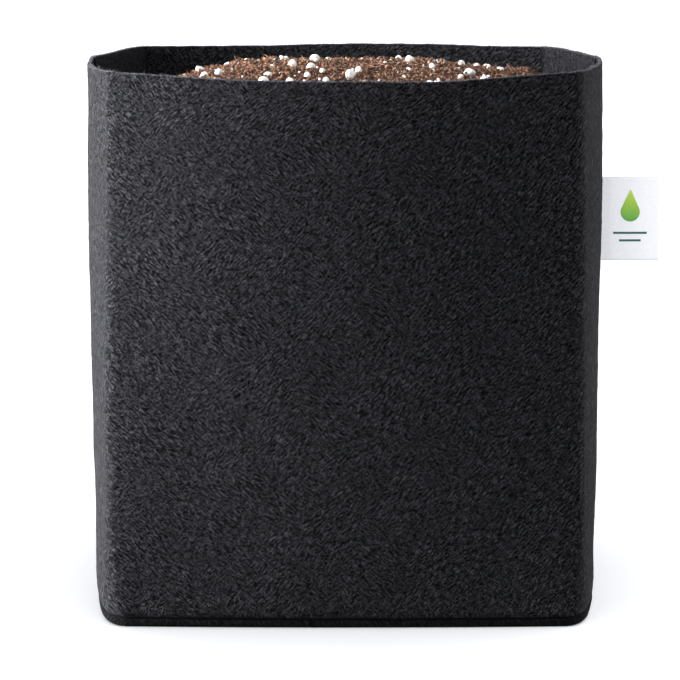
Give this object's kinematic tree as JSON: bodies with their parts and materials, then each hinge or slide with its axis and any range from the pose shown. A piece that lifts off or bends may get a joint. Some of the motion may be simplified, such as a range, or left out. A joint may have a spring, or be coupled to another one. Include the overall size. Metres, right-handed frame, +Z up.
{
  "type": "fabric grow bag",
  "caption": "Square felt grow bag with an open raw-cut rim, side seams and a sewn-on base, with a folded ribbon label in one seam, filled with a lift-out mounded block of growing mix.",
  "frame": {"origin": "middle of the base's flat underside", "axes": "+Z up out of the open rim, +X to the bag's right, towards the seam with the label, +Y to its back"},
  "size_m": [0.3317, 0.306, 0.3056],
  "materials": {
    "wall_felt": "matt needle-punched felt, black",
    "base_felt": "matt needle-punched felt, black",
    "thread": "spun polyester thread, black",
    "ribbon": "white satin ribbon",
    "drop_ink": "printed green ink",
    "line_ink": "printed dark green ink",
    "coir_mix": "moist crumbly coir, dark brown",
    "perlite": "matt expanded perlite, white",
    "coir_fibre": "stiff coconut fibre, red-brown",
    "husk": "coconut husk chip, brown"
  },
  "bodies": {
    "bag": {"front_panel": "wall_felt", "back_panel": "wall_felt", "base_panel": "base_felt", "left_seam_stitching": "thread", "right_seam_stitching": "thread", "base_seam_stitching": "thread", "label_tail": "ribbon"},
    "label": {"label_ribbon": "ribbon", "label_drop_print": "drop_ink", "label_line_print": "line_ink"},
    "fill": {"growing_mix": "coir_mix", "perlite_grains": "perlite", "coir_fibres": "coir_fibre", "husk_chips": "husk"}
  },
  "joints": [
    {"name": "label_swing", "type": "hinge", "parent": "bag", "child": "label", "pos_m": [0.1487, 0, 0.2115], "axis": [0, 0, 1], "range_deg": [-80, 80], "stiffness_Nm_per_rad": 0.0005},
    {"name": "fill_lift", "type": "slide", "parent": "bag", "child": "fill", "axis": [0, 0, 1], "range_m": [0, 0.32]}
  ]
}
